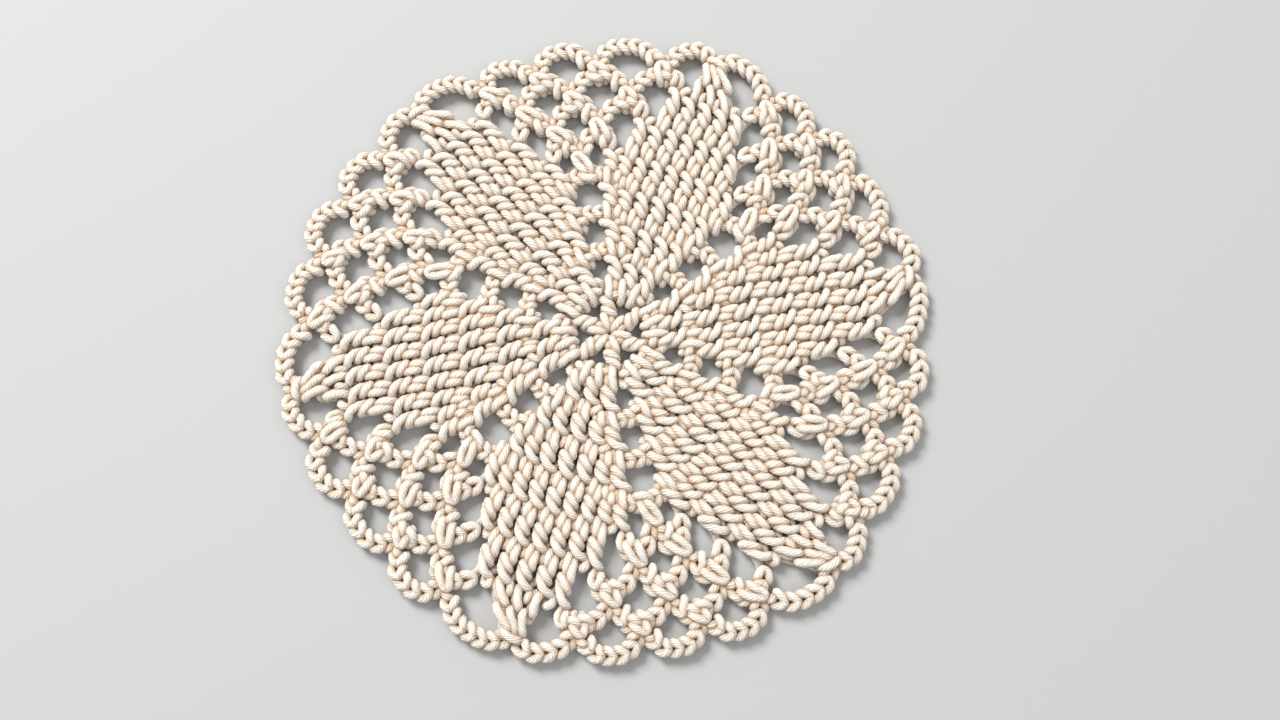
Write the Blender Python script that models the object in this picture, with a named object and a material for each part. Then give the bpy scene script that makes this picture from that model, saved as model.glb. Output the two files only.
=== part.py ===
"""Crocheted lace doily: six petals of double crochet joined by a chain net.

The doily lies flat with its face up. The origin is at the middle of its underside,
which is the plane z = 0. Angles run counter-clockwise from +X, as the rounds do.
"""
import math

import bmesh
import bpy
from mathutils import Vector
from mathutils.geometry import delaunay_2d_cdt

# Sizes in metres. A reach is a distance from the middle as a share of RADIUS.
RADIUS = 0.095
PETALS = 6
SCALLOPS_PER_PETAL = 5
SECTOR_DEG = 60.0
HALF_SECTOR_DEG = SECTOR_DEG / 2
SCALLOP_DEG = SECTOR_DEG / SCALLOPS_PER_PETAL

EDGE_HEIGHT = 0.0018
SHOULDER_INSET = 0.0010
SHOULDER_HEIGHT = 0.0032
CHAIN_CROWN = 0.0040
POST_CROWN = 0.0048
POST_VALLEY = 0.0036
ROW_VALLEY = 0.0041
RELIEF_CLEARANCE = 0.0006
MERGE_DISTANCE = 1e-7

NOTCH_REACH = 0.950
TIP_NOTCH_REACH = 0.975
SCALLOP_ROUNDNESS = 0.75
SCALLOP_POINTS = 7
GAP_POINTS = 8
GAP_SQUARENESS = 1.6

# Hand tension: inside FREE_REACH the doily follows its petals and arms, and towards
# SET_REACH it comes to follow the notches and the reach of its scallops. The rounds
# inside DRIFT_END_REACH lie a little to one side of the edge's own middle.
FREE_REACH = 0.50
SET_REACH = 0.92
DRIFT_REACH = 0.015
DRIFT_DEG = 325.0
DRIFT_FULL_REACH = 0.80
DRIFT_END_REACH = 1.00

# One row for each petal. petal: its middle line. arm: the middle of the net that follows it.
# notches: the edge's joints, from the petal's tip on. reaches: the scallops after each joint.
TENSION = (
    {"petal": 10.2, "arm": 40.0, "notches": (8.5, 21.0, 33.2, 44.5, 55.5),
     "reaches": (1.009, 0.983, 0.996, 0.991, 1.015)},
    {"petal": 69.5, "arm": 99.0, "notches": (66.5, 78.3, 92.5, 105.0, 116.0),
     "reaches": (1.016, 0.991, 0.982, 0.967, 1.008)},
    {"petal": 129.0, "arm": 159.5, "notches": (127.8, 140.0, 151.8, 164.5, 177.5),
     "reaches": (0.994, 0.991, 1.003, 1.000, 1.012)},
    {"petal": 190.7, "arm": 221.3, "notches": (189.0, 200.5, 213.0, 226.0, 238.2),
     "reaches": (1.009, 0.991, 0.974, 0.986, 1.015)},
    {"petal": 252.6, "arm": 282.8, "notches": (251.0, 264.5, 276.5, 287.8, 299.2),
     "reaches": (1.009, 1.000, 1.000, 1.011, 1.030)},
    {"petal": 312.0, "arm": 340.3, "notches": (311.0, 322.5, 335.0, 346.5, 357.0),
     "reaches": (1.024, 1.003, 1.003, 0.994, 0.994)},
)

# One row for each round that leaves gaps: how many beside each arm, SCALLOP_DEG apart,
# how far their middle lies from the arm, its reach, how much further out each next gap
# of the row lies, and the gap's height, both as reaches, and its width.
GAPS = (
    {"count": 1, "offset": 24.0, "middle": 0.100, "climb": 0.0, "height": 0.050, "width": 0.0042},
    {"count": 1, "offset": -0.5, "middle": 0.210, "climb": 0.0, "height": 0.085, "width": 0.0048},
    {"count": 1, "offset": 0.3, "middle": 0.330, "climb": 0.0, "height": 0.088, "width": 0.0076},
    {"count": 1, "offset": 0.0, "middle": 0.460, "climb": 0.0, "height": 0.092, "width": 0.0082},
    {"count": 2, "offset": -0.2, "middle": 0.602, "climb": 0.022, "height": 0.085, "width": 0.0045},
    {"count": 3, "offset": -1.0, "middle": 0.706, "climb": 0.006, "height": 0.098, "width": 0.0070},
    {"count": 4, "offset": -0.8, "middle": 0.807, "climb": 0.003, "height": 0.090, "width": 0.0077},
    {"count": 5, "offset": -0.3, "middle": 0.900, "climb": 0.003, "height": 0.074, "width": 0.0090},
)

# One row for each round of petal stitches: posts in a petal, their pitch in degrees
# and the reach of their feet and heads.
POSTS = (
    {"count": 3, "pitch": 16.0, "feet": 0.132, "heads": 0.247},
    {"count": 5, "pitch": 10.0, "feet": 0.247, "heads": 0.365},
    {"count": 7, "pitch": 6.8, "feet": 0.365, "heads": 0.483},
    {"count": 9, "pitch": 5.1, "feet": 0.483, "heads": 0.595},
    {"count": 7, "pitch": 4.5, "feet": 0.595, "heads": 0.707},
    {"count": 5, "pitch": 4.0, "feet": 0.707, "heads": 0.824},
    {"count": 3, "pitch": 3.2, "feet": 0.824, "heads": 0.925},
)

# One row for each round of chain loops: loops beside each arm, the reach of the knots
# that they hang between, and the reach of the middle of a loop.
LOOPS = (
    {"count": 1, "knots": 0.483, "middle": 0.526},
    {"count": 2, "knots": 0.605, "middle": 0.667},
    {"count": 3, "knots": 0.712, "middle": 0.776},
    {"count": 4, "knots": 0.822, "middle": 0.875},
    {"count": 5, "knots": 0.910, "middle": 0.968},
)
LOOP_STATIONS = (0.0, 0.25, 0.5, 0.75)


def blend(start, end, share):
    return start + (end - start) * share


def smooth_share(value, low, high):
    share = min(1.0, max(0.0, (value - low) / (high - low)))
    return share * share * (3.0 - 2.0 * share)


def wrapped(sector, swing):
    """Sector and swing of the same direction, with the swing inside its half sector."""
    while swing < -HALF_SECTOR_DEG:
        swing += SECTOR_DEG
        sector -= 1
    while swing >= HALF_SECTOR_DEG:
        swing -= SECTOR_DEG
        sector += 1
    return sector, swing


def petal_angle(sector):
    turns, index = divmod(sector, PETALS)
    return TENSION[index]["petal"] + 360.0 * turns


def arm_angle(sector):
    turns, index = divmod(sector, PETALS)
    return TENSION[index]["arm"] + 360.0 * turns


def notch_angle(joint):
    turns, index = divmod(joint, PETALS * SCALLOPS_PER_PETAL)
    petal, column = divmod(index, SCALLOPS_PER_PETAL)
    return TENSION[petal]["notches"][column] + 360.0 * turns


def scallop_reach(joint):
    petal, column = divmod(joint % (PETALS * SCALLOPS_PER_PETAL), SCALLOPS_PER_PETAL)
    return TENSION[petal]["reaches"][column]


def place(sector, swing, reach):
    """Point on the doily, `swing` degrees past the arm of `sector`, at `reach`."""
    sector, swing = wrapped(sector, swing)
    if swing < 0.0:
        inner = blend(arm_angle(sector), petal_angle(sector), -swing / HALF_SECTOR_DEG)
    else:
        inner = blend(arm_angle(sector), petal_angle(sector + 1), swing / HALF_SECTOR_DEG)
    along = sector * SCALLOPS_PER_PETAL + (swing + HALF_SECTOR_DEG) / SCALLOP_DEG
    joint = math.floor(along)
    outer = blend(notch_angle(joint), notch_angle(joint + 1), along - joint)
    middle = math.floor(along - 0.5)
    stretch = blend(scallop_reach(middle), scallop_reach(middle + 1), along - 0.5 - middle)
    share = smooth_share(reach, FREE_REACH, SET_REACH)
    angle = math.radians(blend(inner, outer, share))
    distance = RADIUS * reach * blend(1.0, stretch, share)
    drift_angle = math.radians(DRIFT_DEG)
    drift = RADIUS * DRIFT_REACH * (1.0 - smooth_share(reach, DRIFT_FULL_REACH, DRIFT_END_REACH))
    return Vector((
        distance * math.cos(angle) + drift * math.cos(drift_angle),
        distance * math.sin(angle) + drift * math.sin(drift_angle),
    ))


def rim_loop(inset):
    """Edge of the doily with its scallops, moved inwards by `inset`."""
    points = []
    for joint in range(PETALS * SCALLOPS_PER_PETAL):
        sector, column = divmod(joint, SCALLOPS_PER_PETAL)
        start_notch = TIP_NOTCH_REACH if column == 0 else NOTCH_REACH
        end_notch = TIP_NOTCH_REACH if column == SCALLOPS_PER_PETAL - 1 else NOTCH_REACH
        for step in range(SCALLOP_POINTS):
            share = step / SCALLOP_POINTS
            notch = blend(start_notch, end_notch, share)
            rise = math.sin(math.pi * share) ** SCALLOP_ROUNDNESS
            reach = blend(notch, 1.0, rise) - inset / RADIUS
            swing = -HALF_SECTOR_DEG + SCALLOP_DEG * (column + share)
            points.append(place(sector, swing, reach))
    return points


def gap_frames():
    """Middle, sideways direction, half width and half height of every gap."""
    frames = []
    for sector in range(PETALS):
        for row in GAPS:
            for index in range(row["count"]):
                order = index - (row["count"] - 1) / 2
                swing = row["offset"] + SCALLOP_DEG * order
                reach = row["middle"] + row["climb"] * order
                inner = place(sector, swing, reach - row["height"] / 2)
                outer = place(sector, swing, reach + row["height"] / 2)
                height = (outer - inner).length / 2
                upright = (outer - inner).normalized()
                sideways = Vector((upright.y, -upright.x))
                frames.append(((inner + outer) / 2, sideways, row["width"] / 2, height))
    return frames


def gap_loop(frame, spread):
    """Outline of one gap, between an oval and a diamond, grown by `spread`."""
    middle, sideways, half_width, half_height = frame
    upright = Vector((-sideways.y, sideways.x))
    points = []
    for step in range(GAP_POINTS):
        angle = 2 * math.pi * step / GAP_POINTS
        across = math.cos(angle)
        along = math.sin(angle)
        power = 2.0 / GAP_SQUARENESS
        across = math.copysign(abs(across) ** power, across) * (half_width + spread)
        along = math.copysign(abs(along) ** power, along) * (half_height + spread)
        points.append(middle + sideways * across + upright * along)
    return points


def clear_of_gaps(point, frames):
    spread = SHOULDER_INSET + RELIEF_CLEARANCE
    for middle, sideways, half_width, half_height in frames:
        offset = point - middle
        upright = Vector((-sideways.y, sideways.x))
        across = abs(offset.dot(sideways)) / (half_width + spread)
        along = abs(offset.dot(upright)) / (half_height + spread)
        if across ** GAP_SQUARENESS + along ** GAP_SQUARENESS < 1.0:
            return False
    return True


def post_relief():
    """Raised post, sunk seam beside it and row line above it, for each petal stitch."""
    points = []
    for petal in range(PETALS):
        for row in POSTS:
            middle_reach = (row["feet"] + row["heads"]) / 2
            for index in range(row["count"]):
                swing = row["pitch"] * (index - (row["count"] - 1) / 2) - HALF_SECTOR_DEG
                points.append((place(petal, swing, middle_reach), POST_CROWN))
                points.append((place(petal, swing, row["heads"]), ROW_VALLEY))
                if index + 1 < row["count"]:
                    seam = place(petal, swing + row["pitch"] / 2, middle_reach)
                    points.append((seam, POST_VALLEY))
    return points


def loop_relief():
    """Crown of the chain loops and of the knots between them."""
    points = []
    for sector in range(PETALS):
        for row in LOOPS:
            for index in range(row["count"]):
                middle_swing = SCALLOP_DEG * (index - (row["count"] - 1) / 2)
                for share in LOOP_STATIONS:
                    swing = middle_swing + SCALLOP_DEG * (share - 0.5)
                    reach = blend(row["knots"], row["middle"], math.sin(math.pi * share))
                    points.append((place(sector, swing, reach), CHAIN_CROWN))
    return points


def filled_triangles(points, loops):
    """Triangles between the rim, the first loop, and the gaps, as indices into `points`.

    A triangle with all its corners on one gap's convex loop lies in that gap. One with
    all its corners on the rim may lie in a notch, outside the doily.
    """
    loop_of = {}
    edges = []
    for number, loop in enumerate(loops):
        for position, index in enumerate(loop):
            loop_of[index] = number
            edges.append((index, loop[(position + 1) % len(loop)]))
    whole_hull = 0
    result = delaunay_2d_cdt(points, edges, [], whole_hull, MERGE_DISTANCE, True)
    corner_of = [sources[0] for sources in result[3]]
    triangles = []
    for face in result[2]:
        corners = [corner_of[corner] for corner in face]
        owners = {loop_of.get(corner, -1) for corner in corners}
        if len(owners) == 1 and owners != {-1}:
            if owners != {0} or not inside_rim(points, corners, loops[0]):
                continue
        triangles.append(corners)
    return triangles


def inside_rim(points, corners, rim):
    middle = sum((points[corner] for corner in corners), Vector((0.0, 0.0))) / 3
    inside = False
    for position, index in enumerate(rim):
        start = points[index]
        end = points[rim[(position + 1) % len(rim)]]
        if (start.y > middle.y) != (end.y > middle.y):
            crossing = start.x + (middle.y - start.y) * (end.x - start.x) / (end.y - start.y)
            if middle.x < crossing:
                inside = not inside
    return inside


def doily_mesh():
    frames = gap_frames()
    lower_loops = [rim_loop(0.0)] + [gap_loop(frame, 0.0) for frame in frames]
    upper_loops = [rim_loop(SHOULDER_INSET)]
    upper_loops += [gap_loop(frame, SHOULDER_INSET) for frame in frames]
    flat_points = [point for loop in lower_loops for point in loop]
    face_points = [point for loop in upper_loops for point in loop]
    loops = []
    start = 0
    for loop in lower_loops:
        loops.append(list(range(start, start + len(loop))))
        start += len(loop)
    heights = [SHOULDER_HEIGHT] * len(face_points)
    relief = [(Vector((0.0, 0.0)), POST_CROWN)] + post_relief() + loop_relief()
    for point, height in relief:
        if clear_of_gaps(point, frames):
            face_points.append(point)
            heights.append(height)

    shape = bmesh.new()
    underside = [shape.verts.new((p.x, p.y, 0.0)) for p in flat_points]
    sides = [shape.verts.new((p.x, p.y, EDGE_HEIGHT)) for p in flat_points]
    face = [shape.verts.new((p.x, p.y, z)) for p, z in zip(face_points, heights)]
    for corners in filled_triangles(flat_points, loops):
        shape.faces.new([underside[corner] for corner in corners])
    for corners in filled_triangles(face_points, loops):
        shape.faces.new([face[corner] for corner in corners])
    for loop in loops:
        for position, index in enumerate(loop):
            after = loop[(position + 1) % len(loop)]
            shape.faces.new((underside[index], underside[after], sides[after], sides[index]))
            shape.faces.new((sides[index], sides[after], face[after], face[index]))
    bmesh.ops.triangulate(shape, faces=shape.faces)
    bmesh.ops.recalc_face_normals(shape, faces=shape.faces)
    mesh = bpy.data.meshes.new("doily")
    shape.to_mesh(mesh)
    shape.free()
    return mesh


def cotton():
    material = bpy.data.materials.new("ecru cotton")
    material.use_nodes = True
    shader = material.node_tree.nodes["Principled BSDF"]
    shader.inputs["Base Color"].default_value = (0.76, 0.68, 0.58, 1.0)
    shader.inputs["Roughness"].default_value = 0.9
    shader.inputs["Metallic"].default_value = 0.0
    return material


for old in list(bpy.data.objects):
    bpy.data.objects.remove(old)

doily = bpy.data.objects.new("doily", doily_mesh())
doily.data.materials.append(cotton())
bpy.context.scene.collection.objects.link(doily)
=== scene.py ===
import math

import bpy
import numpy as np
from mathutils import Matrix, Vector


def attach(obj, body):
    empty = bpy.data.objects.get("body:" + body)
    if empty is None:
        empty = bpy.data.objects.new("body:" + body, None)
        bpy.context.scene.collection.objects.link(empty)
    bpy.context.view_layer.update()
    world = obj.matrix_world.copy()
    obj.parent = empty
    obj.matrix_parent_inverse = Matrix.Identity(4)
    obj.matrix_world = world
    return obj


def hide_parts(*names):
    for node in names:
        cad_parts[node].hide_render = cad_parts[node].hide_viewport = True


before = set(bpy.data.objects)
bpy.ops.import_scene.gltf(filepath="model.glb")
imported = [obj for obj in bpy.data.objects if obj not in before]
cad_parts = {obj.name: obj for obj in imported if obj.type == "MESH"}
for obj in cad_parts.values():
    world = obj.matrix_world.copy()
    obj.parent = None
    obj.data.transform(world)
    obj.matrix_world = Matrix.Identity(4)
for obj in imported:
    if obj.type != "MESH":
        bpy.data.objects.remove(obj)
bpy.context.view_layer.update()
bpy.ops.object.select_all(action="DESELECT")

# Rounds one to four, the closed middle of the doily. The real ones are one strand of plied ecru
# cotton yarn: double crochets side by side in six petals, hooked into the heads of the round
# before, with a few chains from petal to petal. The petals widen by two stitches a round.

MM = 0.001
RADIUS = 95 * MM
PETALS = 6
SCALLOPS_PER_PETAL = 5
SECTOR_DEG = 60.0
HALF_SECTOR_DEG = SECTOR_DEG / 2
SCALLOP_DEG = SECTOR_DEG / SCALLOPS_PER_PETAL

# Hand tension, as in the solid. A reach is a distance from the middle as a share of RADIUS. An arm
# is the middle line between two petals. Notches are the angles where the scallops meet, and
# reaches say how far each scallop comes out.
FREE_REACH = 0.50
SET_REACH = 0.92
DRIFT_REACH = 0.015
DRIFT_DEG = 325.0
DRIFT_FULL_REACH = 0.80
DRIFT_END_REACH = 1.00
TENSION = (
    {"petal": 10.2, "arm": 40.0, "notches": (8.5, 21.0, 33.2, 44.5, 55.5),
     "reaches": (1.009, 0.983, 0.996, 0.991, 1.015)},
    {"petal": 69.5, "arm": 99.0, "notches": (66.5, 78.3, 92.5, 105.0, 116.0),
     "reaches": (1.016, 0.991, 0.982, 0.967, 1.008)},
    {"petal": 129.0, "arm": 159.5, "notches": (127.8, 140.0, 151.8, 164.5, 177.5),
     "reaches": (0.994, 0.991, 1.003, 1.000, 1.012)},
    {"petal": 190.7, "arm": 221.3, "notches": (189.0, 200.5, 213.0, 226.0, 238.2),
     "reaches": (1.009, 0.991, 0.974, 0.986, 1.015)},
    {"petal": 252.6, "arm": 282.8, "notches": (251.0, 264.5, 276.5, 287.8, 299.2),
     "reaches": (1.009, 1.000, 1.000, 1.011, 1.030)},
    {"petal": 312.0, "arm": 340.3, "notches": (311.0, 322.5, 335.0, 346.5, 357.0),
     "reaches": (1.024, 1.003, 1.003, 0.994, 0.994)},
)

YARN_RADIUS = 1.30 * MM
FABRIC_MIDDLE = 2.75 * MM
POST_WIDTH = 4.9 * MM
CHAIN_PITCH = 3.7 * MM
CHAIN_HALF_WIDTH = 1.7 * MM
CHAIN_TILT_DEG = 20.0
CHAIN_HALF_DEPTH = 1.0 * MM

# The strand's way through one double crochet. along: in stitch widths, in the direction of work.
# up: from the foot to the head. depth: in millimetres, towards the face.
DOUBLE_CROCHET = (
    # along, up, depth
    (-0.45, 0.74, -1.8), (-0.15, 0.42, -1.8), (-0.02, 0.12, -1.5), (0.00, -0.05, -0.8),
    (-0.09, -0.07, 0.2), (-0.13, 0.08, 1.0), (-0.12, 0.22, 1.1), (-0.03, 0.36, 0.2),
    (0.14, 0.50, -0.8), (0.26, 0.52, 0.0), (0.25, 0.42, 1.3), (0.18, 0.30, 1.8),
    (0.10, 0.14, 1.6), (0.03, -0.03, 0.5), (0.04, -0.07, -0.6), (0.08, 0.16, -1.7),
    (0.10, 0.42, -1.9), (0.16, 0.64, -1.6), (0.28, 0.73, -0.7), (0.31, 0.67, 0.5),
    (0.22, 0.61, 1.5), (0.08, 0.56, 2.0), (-0.06, 0.51, 1.9), (-0.18, 0.44, 1.2),
    (-0.24, 0.36, 0.1), (-0.21, 0.33, -1.1), (-0.19, 0.43, -1.0), (-0.19, 0.53, 0.5),
    (-0.14, 0.64, 1.6), (-0.05, 0.76, 2.1), (0.08, 0.86, 2.1), (0.22, 0.91, 1.8),
    (0.38, 0.92, 1.1), (0.54, 0.91, 0.1), (0.66, 0.94, -0.7), (0.80, 1.00, -0.3),
    (0.84, 1.09, 0.6), (0.71, 1.18, 1.0), (0.52, 1.26, 0.6), (0.34, 1.20, -0.8),
    (0.24, 1.00, -1.6), (0.35, 0.86, -1.9),
)
HEAD_LOOP_POINTS = 8

# The loop on a head that nothing is worked into, and the end of a petal's last post.
LOW_HEAD_LOOP = (
    (0.70, 0.93, -0.6), (0.84, 0.99, -0.2), (0.82, 1.06, 0.6), (0.66, 1.10, 0.8),
    (0.46, 1.12, 0.3), (0.34, 1.08, -0.8), (0.24, 1.00, -1.6), (0.35, 0.86, -1.9),
)
LAST_HEAD = ((0.53, 0.96, -0.3), (0.46, 1.04, -1.0))
FIRST_TURN = ((-0.12, 0.86, -1.9),)

# The strand's way through one chain: along in chains, side in half widths, depth in half depths.
CHAIN = (
    # along, side, depth
    (0.02, 0.25, -1.0), (0.12, 0.50, -0.2), (0.36, 0.95, 0.75), (0.74, 1.00, 0.95),
    (1.10, 0.75, 0.45), (1.36, 0.32, -0.2), (1.42, 0.00, -0.35), (1.36, -0.32, -0.2),
    (1.10, -0.75, 0.45), (0.74, -1.00, 0.95), (0.36, -0.95, 0.75), (0.12, -0.50, -0.2),
    (0.02, -0.25, -1.0), (0.30, -0.15, -1.4), (0.62, 0.00, -1.5), (0.88, 0.15, -1.35),
)


def blend(a, b, share):
    """The value at a share of the way from a to b."""
    return a + (b - a) * share


def smooth_share(value, low, high):
    """How far a value has come from low to high, from 0 to 1, eased at both ends."""
    share = min(max((value - low) / (high - low), 0.0), 1.0)
    return share * share * (3 - 2 * share)


def wrapped(sector, swing):
    """The same direction, counted from the arm of the sector it lies in."""
    while swing >= HALF_SECTOR_DEG:
        sector, swing = sector + 1, swing - SECTOR_DEG
    while swing < -HALF_SECTOR_DEG:
        sector, swing = sector - 1, swing + SECTOR_DEG
    return sector, swing


def petal_angle(sector):
    """The angle of a petal's middle line, which goes on past 360 degrees."""
    turns, petal = divmod(sector, PETALS)
    return TENSION[petal]["petal"] + 360 * turns


def arm_angle(sector):
    """The angle of the middle line between a petal and the next."""
    turns, petal = divmod(sector, PETALS)
    return TENSION[petal]["arm"] + 360 * turns


def notch_angle(joint):
    """The angle where a scallop starts."""
    turns, index = divmod(joint, PETALS * SCALLOPS_PER_PETAL)
    petal, column = divmod(index, SCALLOPS_PER_PETAL)
    return TENSION[petal]["notches"][column] + 360 * turns


def scallop_reach(joint):
    """How far a scallop comes out, as a share of the usual reach."""
    petal, column = divmod(joint % (PETALS * SCALLOPS_PER_PETAL), SCALLOPS_PER_PETAL)
    return TENSION[petal]["reaches"][column]


def place(sector, swing, reach):
    """The point at a swing in degrees past the arm of the sector, and at a reach."""
    sector, swing = wrapped(sector, swing)
    side = petal_angle(sector) if swing < 0 else petal_angle(sector + 1)
    inner = blend(arm_angle(sector), side, abs(swing) / HALF_SECTOR_DEG)
    along = sector * SCALLOPS_PER_PETAL + (swing + HALF_SECTOR_DEG) / SCALLOP_DEG
    joint = math.floor(along)
    outer = blend(notch_angle(joint), notch_angle(joint + 1), along - joint)
    middle = math.floor(along - 0.5)
    stretch = blend(scallop_reach(middle), scallop_reach(middle + 1), along - 0.5 - middle)
    share = smooth_share(reach, FREE_REACH, SET_REACH)
    angle = math.radians(blend(inner, outer, share))
    distance = RADIUS * reach * blend(1.0, stretch, share)
    drift = RADIUS * DRIFT_REACH * (1 - smooth_share(reach, DRIFT_FULL_REACH, DRIFT_END_REACH))
    drift_angle = math.radians(DRIFT_DEG)
    return np.array((
        distance * math.cos(angle) + drift * math.cos(drift_angle),
        distance * math.sin(angle) + drift * math.sin(drift_angle),
    ))


def unit(vector):
    """The direction of a vector."""
    return vector / np.linalg.norm(vector)


def leftward(vector):
    """A quarter turn against the clock, which is the direction of work."""
    return np.array((-vector[1], vector[0]))


def worked_post(stitch, foot, head, foot_width, head_width):
    """The points of one post from its foot to its head, wider or narrower at either end."""
    table = np.array(stitch)
    up = head - foot
    foot_side = leftward(unit(up)) * foot_width
    head_side = unit(leftward(unit(up)) + leftward(unit(head))) * head_width
    share = np.clip(table[:, 1:2], 0, 1)
    side = foot_side * (1 - share) + head_side * share
    flat = foot + table[:, 1:2] * up + table[:, 0:1] * side
    return np.column_stack((flat, FABRIC_MIDDLE + table[:, 2] * MM))


LOOP_SQUARENESS = 3.2
LOOP_LEAN = 0.72
LOOP_SAG = 0.14


def loop_line(sector, start, end, reaches, middle, leaning=True, steps=28):
    """The bowed line that a chain loop follows, from one swing and reach to another."""
    line = []
    for share in np.linspace(0, 1, steps + 1):
        level = blend(reaches[0], reaches[1], share)
        warped = share ** LOOP_LEAN if leaning else share
        bow = 1 - abs(2 * warped - 1) ** LOOP_SQUARENESS
        if leaning:
            bow *= 1 + LOOP_SAG * (1 - 2 * share)
        reach = level + (middle - sum(reaches) / 2) * bow
        line.append(place(sector, blend(start, end, share), reach))
    return np.array(line)


def worked_chains(line, pitch=CHAIN_PITCH, half_width=CHAIN_HALF_WIDTH):
    """The points of as many chains as the line has room for."""
    steps = np.linalg.norm(np.diff(line, axis=0), axis=1)
    reached = np.concatenate(((0.0,), np.cumsum(steps)))
    count = max(1, round(reached[-1] / pitch))
    pitch = reached[-1] / count
    points = []
    for chain in range(count):
        for along, side, depth in CHAIN:
            at = (chain + along) * pitch
            here = np.array([np.interp(at, reached, line[:, axis]) for axis in (0, 1)])
            over = max(at - reached[-1], 0.0)
            index = min(max(int(np.searchsorted(reached, at)), 1), len(line) - 1)
            ahead = unit(line[index] - line[index - 1])
            out, face = side * half_width, depth * CHAIN_HALF_DEPTH
            tilt = math.radians(CHAIN_TILT_DEG)
            out, face = (out * math.cos(tilt) + face * math.sin(tilt),
                         face * math.cos(tilt) - out * math.sin(tilt))
            here = here + ahead * over - leftward(ahead) * out
            points.append((here[0], here[1], FABRIC_MIDDLE + face))
    return np.array(points)


# One row for each round. pitch: degrees between its posts. feet and heads: their reaches.
ROUNDS = (
    {"posts": 1, "pitch": 60.0, "feet": 0.020, "heads": 0.132, "loops": 1, "knots": 0.132, "middle": 0.146},
    {"posts": 3, "pitch": 16.0, "feet": 0.132, "heads": 0.247, "loops": 1, "knots": 0.250, "middle": 0.269},
    {"posts": 5, "pitch": 10.0, "feet": 0.247, "heads": 0.365, "loops": 1, "knots": 0.368, "middle": 0.394},
    {"posts": 7, "pitch": 6.8, "feet": 0.365, "heads": 0.483, "loops": 1, "knots": 0.483, "middle": 0.526},
    {"posts": 9, "pitch": 5.1, "feet": 0.483, "heads": 0.595, "loops": 2, "knots": 0.605, "middle": 0.667},
    {"posts": 7, "pitch": 4.5, "feet": 0.595, "heads": 0.707, "loops": 3, "knots": 0.712, "middle": 0.776},
    {"posts": 5, "pitch": 4.0, "feet": 0.707, "heads": 0.824, "loops": 4, "knots": 0.822, "middle": 0.875},
    {"posts": 3, "pitch": 0.0, "feet": 0.824, "heads": 0.935, "loops": 5, "knots": 0.910, "middle": 0.968},
)
WIDEST_ROUND = 4
EDGING = len(ROUNDS) - 1
CLUSTER_SWING = 2.5
SPOKE_SWING = 24.0

# How posts sit in their round. Drops and rises are reaches. The last post of a petal stands higher.
POST_DROP = 0.018
FIRST_RISE = 0.010
LAST_RISE = 0.026
LAST_FOOT_RISE = LAST_RISE * 0.7
FOOT_LAG = 0.12
SHARED_FOOT_SPREAD = 1.3 * MM
MAX_HEAD_WIDTH = POST_WIDTH * 1.12
MIN_HEAD_WIDTH = POST_WIDTH * 0.9
SPOKE_HEAD_WIDTH = POST_WIDTH * 0.85
MIN_FOOT_WIDTH = 3.6 * MM
FOOT_TAPER = 0.6

# How a chain loop starts and ends at a post.
LOOP_RISE = 0.012
LOOP_INSET = 0.30 * POST_WIDTH


def head_swings(number):
    """The swings of a round's post heads from the petal's middle line."""
    row = ROUNDS[number]
    if row["posts"] == 1:
        return [SPOKE_SWING]
    if number == EDGING:
        return [CLUSTER_SWING] * row["posts"]
    return [row["pitch"] * (i - (row["posts"] - 1) / 2) for i in range(row["posts"])]


def foot_swings(number):
    """The swings of a round's feet, set in the heads of the round before."""
    row = ROUNDS[number]
    heads = head_swings(number)
    if number < 2:
        return heads
    below = head_swings(number - 1)
    lag = FOOT_LAG * ROUNDS[number - 1]["pitch"]
    if len(heads) < len(below):
        return [swing - lag for swing in below[1:-1]]
    spread = math.degrees(SHARED_FOOT_SPREAD / (RADIUS * row["feet"]))
    feet = [below[0] - spread, below[0] + spread, *below[1:-1], below[-1] - spread, below[-1] + spread]
    return [swing - lag for swing in feet]


def swing_of(width, reach):
    """The degrees that a width takes up at a reach."""
    return math.degrees(width / (RADIUS * reach))


def worked_petal(number, sector):
    """The points of the posts of one petal in one round."""
    row = ROUNDS[number]
    heads = head_swings(number)
    last = len(heads) - 1
    drop = POST_DROP if number else 0.0
    spacing = RADIUS * row["heads"] * math.radians(row["pitch"])
    head_width = min(MAX_HEAD_WIDTH, max(spacing, MIN_HEAD_WIDTH))
    if len(heads) == 1:
        head_width = SPOKE_HEAD_WIDTH
    foot_width = blend(head_width, MIN_FOOT_WIDTH, FOOT_TAPER)
    points = []
    for index, (foot_swing, head_swing) in enumerate(zip(foot_swings(number), heads)):
        foot_rise = head_rise = 0.0
        if number > 0 and index == last:
            head_rise = LAST_RISE
        elif number > 0 and index == 0:
            head_rise = FIRST_RISE
        if 1 < number <= WIDEST_ROUND and index >= last - 1:
            foot_rise = LAST_FOOT_RISE
        foot = place(sector, foot_swing - HALF_SECTOR_DEG, row["feet"] - drop + foot_rise)
        head = place(sector, head_swing - HALF_SECTOR_DEG, row["heads"] - POST_DROP + head_rise)
        stitch = DOUBLE_CROCHET
        if index == 0:
            stitch = FIRST_TURN + stitch[1:]
        if index == last:
            stitch = stitch[:-HEAD_LOOP_POINTS - 1] + LAST_HEAD
        elif index == 0 and number >= WIDEST_ROUND:
            stitch = stitch[:-HEAD_LOOP_POINTS] + LOW_HEAD_LOOP
        points.append(worked_post(stitch, foot, head, foot_width, head_width))
    return points


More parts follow.
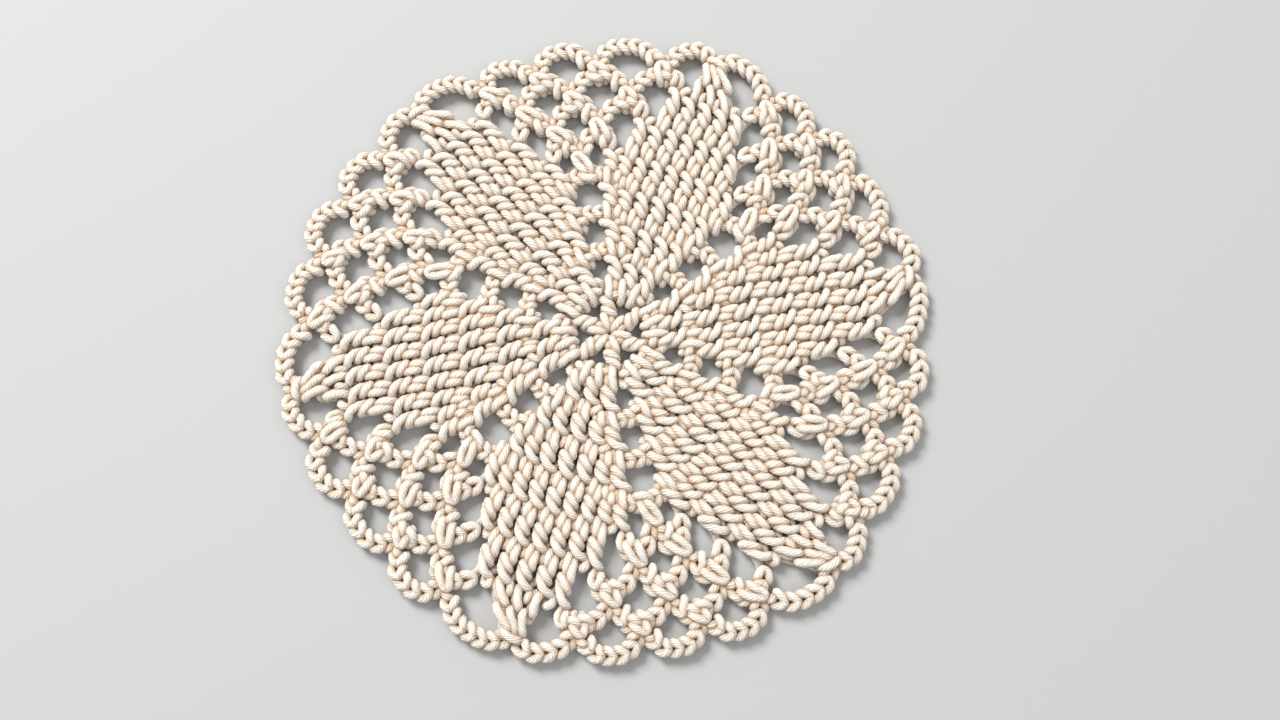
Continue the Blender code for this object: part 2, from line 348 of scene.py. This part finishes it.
def worked_loop(number, sector):
    """The chains from the last post of one petal to the first post of the next."""
    row = ROUNDS[number]
    heads = head_swings(number)
    rise = LOOP_RISE if number else 0.0
    begin = heads[-1] - HALF_SECTOR_DEG + swing_of(LOOP_INSET, row["heads"])
    finish = heads[0] + HALF_SECTOR_DEG - swing_of(LOOP_INSET, row["heads"])
    line = loop_line(sector, begin, finish, [row["heads"] + rise] * 2, row["middle"])
    return [worked_chains(line)]


CURVE_STEPS = 8
POINT_SPACING = 0.69 * MM


def drawn_strand(control):
    """Evenly spaced points on a smooth closed curve through the control points."""
    closed = np.vstack((control[-1:], control, control[:2]))
    p0, p1, p2, p3 = closed[:-3], closed[1:-2], closed[2:-1], closed[3:]
    gaps = [np.maximum(np.linalg.norm(b - a, axis=1), 1e-7)[:, None] ** 0.5
            for a, b in ((p0, p1), (p1, p2), (p2, p3))]
    leave = ((p1 - p0) / gaps[0] - (p2 - p0) / (gaps[0] + gaps[1]) + (p2 - p1) / gaps[1]) * gaps[1]
    arrive = ((p2 - p1) / gaps[1] - (p3 - p1) / (gaps[1] + gaps[2]) + (p3 - p2) / gaps[2]) * gaps[1]
    curve = []
    for s in np.linspace(0, 1, CURVE_STEPS + 1)[:-1]:
        curve.append(
            (2 * s ** 3 - 3 * s ** 2 + 1) * p1 + (s ** 3 - 2 * s ** 2 + s) * leave
            + (3 * s ** 2 - 2 * s ** 3) * p2 + (s ** 3 - s ** 2) * arrive
        )
    curve = np.stack(curve, axis=1).reshape(-1, 3)
    curve = np.vstack((curve, curve[:1]))
    reached = np.concatenate(((0.0,), np.cumsum(np.linalg.norm(np.diff(curve, axis=0), axis=1))))
    count = round(reached[-1] / POINT_SPACING)
    at = np.arange(count) * reached[-1] / count
    return np.column_stack([np.interp(at, reached, curve[:, axis]) for axis in range(3)])


def worked_round(number, between):
    """One round as a closed strand: each petal, and what is worked between it and the next."""
    points = []
    for sector in range(PETALS):
        points += worked_petal(number, sector)
        points += between(number, sector)
    return drawn_strand(np.vstack(points))


START_RING_RADIUS = 2.2 * MM
START_RING_POINTS = 12


def starting_ring():
    """The small ring of yarn that the first round is worked into."""
    centre = (place(0, 0, 0) + place(3, 0, 0)) / 2
    turn = np.linspace(0, 2 * math.pi, START_RING_POINTS + 1)[:-1]
    flat = centre + START_RING_RADIUS * np.column_stack((np.cos(turn), np.sin(turn)))
    return drawn_strand(np.column_stack((flat, np.full(len(turn), FABRIC_MIDDLE))))


middle_strands = [worked_round(number, worked_loop) for number in range(WIDEST_ROUND)]
ring_strand = starting_ring()

# Rounds five to seven, of the same yarn. The petals lose two stitches a round, and between them the
# real doily has a net: loops of chains, each held by a single crochet worked around the loop of the
# round before.

KNOT_START = 2.9 * MM
KNOT_END = 0.6 * MM
KNOT_BELOW = 2.9 * MM
KNOT_DROP = 6.4 * MM

# The strand's way through one single crochet, in millimetres from its head. It leans back over
# the chain that it holds, whose inner side is at -KNOT_DROP.
SINGLE_CROCHET = (
    # along, up, depth
    (-0.8, -0.8, -1.6), (-1.6, -3.5, -1.9), (-2.4, -5.4, -1.0), (-2.6, -5.8, 0.2),
    (-2.4, -4.8, 0.9), (-1.7, -3.1, 1.3), (-0.7, -1.5, 1.3), (0.6, -0.2, 0.9),
    (1.9, 0.3, 0.6), (2.3, -0.8, 0.9), (1.4, -2.7, 1.3), (-0.1, -4.7, 1.0),
    (-0.9, -5.8, 0.1), (-0.9, -5.3, -1.1), (-0.2, -3.6, -2.0), (0.8, -1.4, -1.8),
    (1.2, 0.1, -0.7), (1.5, 1.3, 0.6), (2.3, 1.9, 1.2), (3.3, 1.7, 0.6),
    (4.0, 1.3, -0.5), (3.4, 0.9, -1.4), (2.4, 0.7, -1.7),
)


def worked_knot(foot, head):
    """The points of one single crochet, from under the chain loop that passes through foot."""
    up = unit(unit(head - foot) + unit(head))
    side = leftward(up)
    reach = np.linalg.norm(head - foot) + KNOT_BELOW
    points = []
    for along, level, depth in SINGLE_CROCHET:
        rise = level * MM * (reach / KNOT_DROP if level < 0 else 1)
        flat = head + side * along * MM + up * rise
        points.append((flat[0], flat[1], FABRIC_MIDDLE + depth * MM))
    return np.array(points)


def knot_swings(number):
    """The swings of a round's single crochets past the arm."""
    count = ROUNDS[number]["loops"]
    return [SCALLOP_DEG * (i - (count - 2) / 2) for i in range(count - 1)]


def loop_ends(number):
    """The swings where a round's loops meet posts or single crochets."""
    heads = head_swings(number)
    first = heads[-1] - HALF_SECTOR_DEG
    last = heads[0] + HALF_SECTOR_DEG
    return [first, *knot_swings(number), last]


def loop_middle_swing(number, swing):
    """Where the loop of a round nearest to a swing has its middle."""
    ends = loop_ends(number)
    middles = [(a + b) / 2 for a, b in zip(ends, ends[1:])]
    return min(middles, key=lambda middle: abs(middle - swing))


def worked_net(number, sector, leaning=True, pitch=CHAIN_PITCH, half_width=CHAIN_HALF_WIDTH):
    """The chain loops of one sector and the single crochets between them."""
    row = ROUNDS[number]
    ends = loop_ends(number)
    last = len(ends) - 2
    inset = swing_of(LOOP_INSET, row["heads"])
    points = []
    for index, (start, end) in enumerate(zip(ends, ends[1:])):
        reaches = [row["knots"], row["knots"]]
        begin = start + swing_of(KNOT_START, row["knots"])
        finish = end - swing_of(KNOT_END, row["knots"])
        if index == 0:
            reaches[0] = row["heads"] + LOOP_RISE
            begin = start + inset
        if index == last:
            reaches[1] = row["heads"] + LOOP_RISE
            finish = end - inset
        line = loop_line(sector, begin, finish, reaches, row["middle"], leaning)
        points.append(worked_chains(line, pitch, half_width))
        if index < last:
            below = ROUNDS[number - 1]
            foot = place(sector, loop_middle_swing(number - 1, end), below["middle"])
            head = place(sector, end, row["knots"])
            points.append(worked_knot(foot, head))
    return points


net_strands = [worked_round(number, worked_net) for number in range(WIDEST_ROUND, EDGING)]

# The edging, the last round, of the same yarn. In each petal three posts are drawn together under
# one loop, and from there five scallops of firm chains run to the next petal, held by single
# crochets like the net.

EDGING_PITCH = 3.3 * MM
EDGING_HALF_WIDTH = 1.8 * MM
CLUSTER_SPREAD = 1.5 * MM

# One leg of the three that end a petal in the edging, worked like a double crochet that is left
# open, and the loop that closes all three, in millimetres from their common head.
CLUSTER_LEG = (
    # along, up, depth
    (-0.15, 0.42, -1.8), (-0.02, 0.12, -1.5), (0.00, -0.05, -0.8), (-0.07, -0.07, 0.0),
    (-0.08, 0.10, 0.4), (-0.05, 0.30, 0.3), (0.04, 0.46, -0.2), (0.14, 0.56, -0.6),
    (0.25, 0.52, 0.3), (0.21, 0.41, 1.3), (0.14, 0.28, 1.6), (0.05, 0.12, 1.3),
    (0.02, -0.03, 0.5), (0.04, -0.07, -0.6), (0.08, 0.16, -1.7), (0.12, 0.38, -1.9),
    (0.20, 0.54, -1.3), (0.22, 0.62, -0.2), (0.12, 0.62, 0.8), (0.00, 0.54, 1.0),
    (-0.12, 0.44, 0.5), (-0.22, 0.38, -0.3), (-0.27, 0.42, 0.6), (-0.24, 0.54, 1.5),
    (-0.15, 0.72, 1.9), (0.00, 0.88, 1.7), (0.10, 0.98, 0.9), (0.12, 1.02, -0.2),
    (0.10, 0.90, -1.4),
)
CLUSTER_TOP = (
    (1.5, -1.0, -1.8), (-1.0, -1.6, -1.6), (-2.6, -1.4, -0.2), (-2.8, -0.2, 1.2),
    (-1.6, 0.9, 2.0), (0.2, 1.3, 2.1), (1.9, 1.1, 1.4), (3.0, 0.9, 0.2),
)


def worked_cluster(sector):
    """The points of the legs of one cluster, and of the loop that closes them."""
    row = ROUNDS[EDGING]
    head = place(sector, CLUSTER_SWING - HALF_SECTOR_DEG, row["heads"])
    up = unit(head)
    side = leftward(up)
    points = []
    for index, foot_swing in enumerate(foot_swings(EDGING)):
        foot = place(sector, foot_swing - HALF_SECTOR_DEG, row["feet"] - POST_DROP)
        own_head = head + side * CLUSTER_SPREAD * (index - 1)
        points.append(worked_post(CLUSTER_LEG, foot, own_head, MIN_FOOT_WIDTH, MIN_FOOT_WIDTH))
    closing = [(*(head + side * along * MM + up * level * MM), FABRIC_MIDDLE + depth * MM)
               for along, level, depth in CLUSTER_TOP]
    return [*points, np.array(closing)]


edging_points = []
for sector in range(PETALS):
    edging_points += worked_cluster(sector)
    edging_points += worked_net(EDGING, sector, False, EDGING_PITCH, EDGING_HALF_WIDTH)
edging_strand = drawn_strand(np.vstack(edging_points))

# The yarn of all rounds: four soft plies of ecru cotton twisted together, each of two finer ones.
# The strands first press on each other, as when the real doily is wetted and laid flat to dry:
# each point moves away from strands that it touches, and never sinks into the table.

CONTACT = 1.95 * MM
SEARCH_REACH = CONTACT * 1.25
SEARCH_EVERY = 8
PUSH = 0.25
NEIGHBOURS = 5
SETTLE_STEPS = 40
BEND = 0.35
PULL = 0.05
SETTLE_CAP = 1.4 * MM


def touching_pairs(points, strand, order, length, distance):
    """Index pairs of points closer than distance, but for neighbours on one strand."""
    cell = np.floor(points / distance).astype(np.int64)
    cell -= cell.min(axis=0) - 1
    size = cell.max(axis=0) + 2
    key = (cell[:, 0] * size[1] + cell[:, 1]) * size[2] + cell[:, 2]
    sorting = np.argsort(key, kind="stable")
    sorted_key = key[sorting]
    firsts, seconds = [], []
    for dx in (-1, 0, 1):
        for dy in (-1, 0, 1):
            for dz in (-1, 0, 1):
                near = key + (dx * size[1] + dy) * size[2] + dz
                low = np.searchsorted(sorted_key, near, "left")
                count = np.searchsorted(sorted_key, near, "right") - low
                own = np.repeat(np.arange(len(key)), count)
                step = np.arange(len(own)) - np.repeat(np.cumsum(count) - count, count)
                other = sorting[np.repeat(low, count) + step]
                keep = own < other
                firsts.append(own[keep])
                seconds.append(other[keep])
    first, second = np.concatenate(firsts), np.concatenate(seconds)
    apart = np.abs(order[first] - order[second])
    apart = np.minimum(apart, length[first] - apart)
    keep = (strand[first] != strand[second]) | (apart > NEIGHBOURS)
    first, second = first[keep], second[keep]
    keep = np.linalg.norm(points[first] - points[second], axis=1) < distance
    return first[keep], second[keep]


def joined(strands):
    """All points in one array, with the strand, the place on it and its length for each."""
    lengths = [len(s) for s in strands]
    strand = np.repeat(np.arange(len(strands)), lengths)
    order = np.concatenate([np.arange(n) for n in lengths])
    return np.vstack(strands), strand, order, np.repeat(lengths, lengths)


def settled(strands):
    """The strands after they have pressed on each other."""
    start, strand, order, length = joined(strands)
    points = start.copy()
    offset = np.arange(len(points)) - order
    before = offset + (order - 1) % length
    after = offset + (order + 1) % length
    total = len(points)
    for step in range(SETTLE_STEPS):
        if step % SEARCH_EVERY == 0:
            first, second = touching_pairs(points, strand, order, length, SEARCH_REACH)
        across = points[second] - points[first]
        gap = np.maximum(np.linalg.norm(across, axis=1), 1e-6)
        push = np.clip(CONTACT - gap, 0, None) * PUSH
        across *= (push / gap)[:, None]
        pressed = np.bincount(first, push > 0, total) + np.bincount(second, push > 0, total)
        share = 1 / np.sqrt(np.maximum(pressed, 1))
        for axis in range(3):
            moved = np.bincount(second, across[:, axis], total)
            moved -= np.bincount(first, across[:, axis], total)
            points[:, axis] += moved * share
        points += BEND * ((points[before] + points[after]) / 2 - points)
        points += PULL * (start - points)
        shift = points - start
        shift *= np.minimum(1, SETTLE_CAP / np.maximum(np.linalg.norm(shift, axis=1), 1e-9))[:, None]
        points = start + shift
        points[:, 2] = np.maximum(points[:, 2], YARN_RADIUS)
    return np.split(points, np.flatnonzero(order == 0)[1:])


strands = settled([*middle_strands, *net_strands, edging_strand, ring_strand])
RING = len(strands) - 1

PLIES = 4
AROUND = PLIES * 2
TWIST_LENGTH = 8.5 * MM
PLY_GROOVE = 0.91
RECESS_REACH = 3.4 * MM
RECESS_SHADE_STRENGTH = 1.2
STARTING_SIDE = (0.3, 0.2, 1.0)


def carried_frames(points):
    """Directions and side vectors along a closed strand, turned no more than the strand turns."""
    ahead = np.roll(points, -1, axis=0) - np.roll(points, 1, axis=0)
    ahead /= np.linalg.norm(ahead, axis=1)[:, None]
    sides = np.zeros_like(points)
    side = np.cross(ahead[0], STARTING_SIDE)
    for index, direction in enumerate(ahead):
        side = side - direction * (side @ direction)
        side = side / math.sqrt(side @ side)
        sides[index] = side
    side = side - ahead[0] * (side @ ahead[0])
    side = side / np.linalg.norm(side)
    left = np.cross(ahead[0], sides[0])
    open_angle = math.atan2(side @ left, side @ sides[0])
    return ahead, sides, open_angle


def wound_plies(points):
    """The lengths along a strand and the outward directions of its plies at each point."""
    ahead, sides, open_angle = carried_frames(points)
    lefts = np.cross(ahead, sides)
    steps = np.linalg.norm(np.roll(points, -1, axis=0) - points, axis=1)
    reached = np.concatenate(((0.0,), np.cumsum(steps)))
    turns = -round(reached[-1] / TWIST_LENGTH)
    twist = (turns * 2 * math.pi - open_angle) * reached[:-1] / reached[-1]
    angle = (twist[:, None] + np.arange(AROUND) * 2 * math.pi / AROUND)[..., None]
    return reached, np.cos(angle) * sides[:, None, :] + np.sin(angle) * lefts[:, None, :]


# These shares set how strongly painted shade darkens the yarn where strands meet.
def recesses(strands, directions):
    """How far other strands close in each ply of each point, from 0 to about 1."""
    points, strand, order, length = joined(strands)
    outward = np.vstack(directions)
    first, second = touching_pairs(points, strand, order, length, RECESS_REACH)
    first, second = np.concatenate((first, second)), np.concatenate((second, first))
    across = points[second] - points[first]
    gap = np.linalg.norm(across, axis=1)
    faced = np.einsum("pk,pak->pa", across / gap[:, None], outward[first])
    faced = np.clip(faced, 0, None) ** 2 * (1 - gap / RECESS_REACH)[:, None]
    closed = np.stack([np.bincount(first, faced[:, ply], len(points)) for ply in range(AROUND)], axis=1)
    return np.split(1 - np.exp(-closed * RECESS_SHADE_STRENGTH), np.flatnonzero(order == 0)[1:])


def spun_yarn(name, strands, plies, closed_in):
    """One mesh of plied tubes along closed strands, with lengths and plies in its UV map."""
    corners, faces, maps = [], [], []
    start = 0
    size = YARN_RADIUS * np.where(np.arange(AROUND) % 2 == 0, 1.0, PLY_GROOVE)
    for points, (reached, outward) in zip(strands, plies):
        count = len(points)
        ring = points[:, None, :] + outward * size[None, :, None]
        corners.append(ring.reshape(-1, 3))
        row = np.arange(count)[:, None] * AROUND
        next_row = ((np.arange(count) + 1) % count)[:, None] * AROUND
        column = np.arange(AROUND)[None, :]
        next_column = (column + 1) % AROUND
        quads = np.stack((row + column, row + next_column, next_row + next_column, next_row + column), -1)
        faces.append(quads.reshape(-1, 4) + start)
        start += count * AROUND
        low = np.broadcast_to(reached[:-1, None], (count, AROUND))
        high = np.broadcast_to(reached[1:, None], (count, AROUND))
        near = np.broadcast_to(column / AROUND, (count, AROUND))
        far = np.broadcast_to((column + 1) / AROUND, (count, AROUND))
        places = np.stack((low, near, low, far, high, far, high, near), -1)
        maps.append(places.reshape(-1, 2))
    mesh = bpy.data.meshes.new(name)
    corners, faces, maps = np.vstack(corners), np.vstack(faces), np.vstack(maps)
    mesh.vertices.add(len(corners))
    mesh.vertices.foreach_set("co", corners.ravel())
    mesh.loops.add(faces.size)
    mesh.loops.foreach_set("vertex_index", faces.ravel())
    mesh.polygons.add(len(faces))
    mesh.polygons.foreach_set("loop_start", np.arange(len(faces)) * 4)
    mesh.update()
    mesh.shade_smooth()
    yarn_map = mesh.uv_layers.new(name="yarn")
    yarn_map.data.foreach_set("uv", maps.ravel())
    # How closed in each ply is, kept for the painted shade where strands meet.
    recess_shade = mesh.attributes.new("recess_shade", "FLOAT", "POINT")
    recess_shade.data.foreach_set("value", np.concatenate([share.ravel() for share in closed_in]))
    piece = bpy.data.objects.new(name, mesh)
    bpy.context.scene.collection.objects.link(piece)
    return piece


# Fibres run along the plies. A ply's ridges are bright. The furrows between plies are frayed and lower in
# relief, and their colour is painted darker as shade.
PLY_WAVER = 7.0
FIBRES_ROUND = 5.6
FIBRES_ALONG = 1.0 / MM
RIDGE_POWER = 0.6
FIBRE_RELIEF = 0.28 * MM
FIBRE_HEIGHT = 2.0
FRAYED_HEIGHT = -1.7
FIBRE_TONE = 0.85
FURROW_SHADE_TONE = -0.52
# The darkest yarn colour is painted shade in the furrows between plies, and also the tone of darker fibres.
SHADE_AND_DARK_FIBRE_COLOUR = (0.71, 0.59, 0.46, 1)
YARN_COLOUR = (0.91, 0.84, 0.74, 1)
FIBRE_COLOUR = (0.98, 0.96, 0.92, 1)
# Painted shade: the warm tan that the yarn is multiplied towards where other strands close in.
RECESS_SHADE_COLOUR = (0.60, 0.43, 0.28, 1)


def cotton_yarn():
    """Matt ecru cotton, with fibres along the yarn, painted shade in the furrows between plies, and a warm
    painted shade where strands meet.
    """
    material = bpy.data.materials.new("ecru cotton yarn")
    material.use_nodes = True
    nodes, links = material.node_tree.nodes, material.node_tree.links
    shader = nodes["Principled BSDF"]
    shader.inputs["Roughness"].default_value = 0.85
    shader.inputs["Sheen Weight"].default_value = 0.3
    shader.inputs["Sheen Roughness"].default_value = 0.5
    shader.inputs["Specular IOR Level"].default_value = 0.25
    on_yarn = nodes.new("ShaderNodeUVMap")
    on_yarn.uv_map = "yarn"
    split = nodes.new("ShaderNodeSeparateXYZ")
    links.new(on_yarn.outputs["UV"], split.inputs["Vector"])

    def math_node(operation, first, second=None, third=None):
        node = nodes.new("ShaderNodeMath")
        node.operation = operation
        for socket, value in zip(node.inputs, (first, second, third)):
            if isinstance(value, (int, float)):
                socket.default_value = value
            elif value is not None:
                links.new(value, socket)
        return node.outputs["Value"]

    def noise(vector, scale, detail, roughness):
        node = nodes.new("ShaderNodeTexNoise")
        node.inputs["Scale"].default_value = scale
        node.inputs["Detail"].default_value = detail
        node.inputs["Roughness"].default_value = roughness
        links.new(vector, node.inputs["Vector"])
        return node.outputs["Fac"]

    around = math_node("MULTIPLY", split.outputs["Y"], 2 * math.pi)
    on_round = nodes.new("ShaderNodeCombineXYZ")
    links.new(math_node("MULTIPLY", math_node("COSINE", around), FIBRES_ROUND), on_round.inputs["X"])
    links.new(math_node("MULTIPLY", math_node("SINE", around), FIBRES_ROUND), on_round.inputs["Y"])
    links.new(math_node("MULTIPLY", split.outputs["X"], FIBRES_ALONG), on_round.inputs["Z"])
    fibres = noise(on_round.outputs["Vector"], scale=1.0, detail=5.0, roughness=0.7)
    waver = noise(on_round.outputs["Vector"], scale=0.3, detail=2.0, roughness=0.5)
    phase = math_node("MULTIPLY_ADD", waver, PLY_WAVER, math_node("MULTIPLY", around, AROUND))
    wave = math_node("MULTIPLY_ADD", math_node("COSINE", phase), -0.5, 0.5)
    ridge = math_node("POWER", wave, RIDGE_POWER)
    furrow_relief_and_shade = math_node("MULTIPLY", math_node("SUBTRACT", 1.0, ridge), fibres)
    height = math_node("MULTIPLY_ADD", fibres, FIBRE_HEIGHT, math_node("MULTIPLY", furrow_relief_and_shade, FRAYED_HEIGHT))
    bump = nodes.new("ShaderNodeBump")
    bump.inputs["Distance"].default_value = FIBRE_RELIEF
    bump.inputs["Strength"].default_value = 1.0
    links.new(height, bump.inputs["Height"])
    links.new(bump.outputs["Normal"], shader.inputs["Normal"])
    tone = nodes.new("ShaderNodeValToRGB")
    tone.color_ramp.elements[0].color = SHADE_AND_DARK_FIBRE_COLOUR
    tone.color_ramp.elements[0].position = 0.16
    tone.color_ramp.elements[1].color = FIBRE_COLOUR
    tone.color_ramp.elements[1].position = 0.46
    tone.color_ramp.elements.new(0.32).color = YARN_COLOUR
    # Painted shade: the furrows between plies are made darker here.
    lightness = math_node("MULTIPLY_ADD", fibres, FIBRE_TONE, math_node("MULTIPLY", furrow_relief_and_shade, FURROW_SHADE_TONE))
    links.new(lightness, tone.inputs["Fac"])
    # Painted shade: the colour is multiplied towards a warm tan where other strands close in.
    recess_shade = nodes.new("ShaderNodeAttribute")
    recess_shade.attribute_name = "recess_shade"
    shaded = nodes.new("ShaderNodeMix")
    shaded.data_type = "RGBA"
    shaded.blend_type = "MULTIPLY"
    shaded.inputs["B"].default_value = RECESS_SHADE_COLOUR
    links.new(recess_shade.outputs["Fac"], shaded.inputs["Factor"])
    links.new(tone.outputs["Color"], shaded.inputs["A"])
    links.new(shaded.outputs["Result"], shader.inputs["Base Color"])
    return material


yarn_material = cotton_yarn()
PIECES = (("middle_rounds", (RING, 0, 1, 2, 3)), ("fifth_round", (4,)), ("sixth_round", (5,)),
          ("seventh_round", (6,)), ("edging", (7,)))
plies = [wound_plies(points) for points in strands]
closed_in = recesses(strands, [outward for _, outward in plies])
for name, numbers in PIECES:
    piece = spun_yarn(name, *([rows[number] for number in numbers] for rows in (strands, plies, closed_in)))
    piece.data.materials.append(yarn_material)
    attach(piece, "root")
    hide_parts("doily")

# The floor, the light and the camera. A plain pale floor stands in for the table. One soft light
# comes from beyond the doily on the left, a wider and weaker one from the right, and the camera
# looks down from the photo's side.

FLOOR_SIZE = 3.0
FLOOR_LEVEL = -0.0001
bpy.ops.mesh.primitive_plane_add(size=FLOOR_SIZE, location=(0, 0, FLOOR_LEVEL))
floor = bpy.context.object
floor.name = "floor"
floor_material = bpy.data.materials.new("pale floor")
floor_material.use_nodes = True
floor_shader = floor_material.node_tree.nodes["Principled BSDF"]
floor_shader.inputs["Base Color"].default_value = (0.40, 0.40, 0.395, 1)
floor_shader.inputs["Roughness"].default_value = 0.8
floor.data.materials.append(floor_material)


def soft_light(name, place, size, power):
    """A square light at a place, turned to the doily's middle."""
    lamp = bpy.data.lights.new(name, "AREA")
    lamp.size = size
    lamp.energy = power
    light = bpy.data.objects.new(name, lamp)
    light.location = place
    light.rotation_euler = (-Vector(place)).to_track_quat("-Z", "Y").to_euler()
    bpy.context.scene.collection.objects.link(light)


soft_light("window light", place=(-0.8, 0.9, 1.3), size=0.7, power=41)
soft_light("room light", place=(1.2, -0.6, 1.6), size=1.6, power=10)
world = bpy.data.worlds.new("soft room")
world.use_nodes = True
world.node_tree.nodes["Background"].inputs["Color"].default_value = (1.0, 1.0, 1.0, 1)
world.node_tree.nodes["Background"].inputs["Strength"].default_value = 0.66
bpy.context.scene.world = world
bpy.context.scene.view_settings.view_transform = "Standard"

VIEW_TILT_DEG = 14.0
lens = bpy.data.cameras.new("camera")
lens.lens = 36.56
lens.sensor_width = 36.0
camera = bpy.data.objects.new("camera", lens)
camera.location = (0.0100, -0.0996, 0.3680)
camera.rotation_euler = (math.radians(VIEW_TILT_DEG), 0, 0)
bpy.context.scene.collection.objects.link(camera)
bpy.context.scene.camera = camera
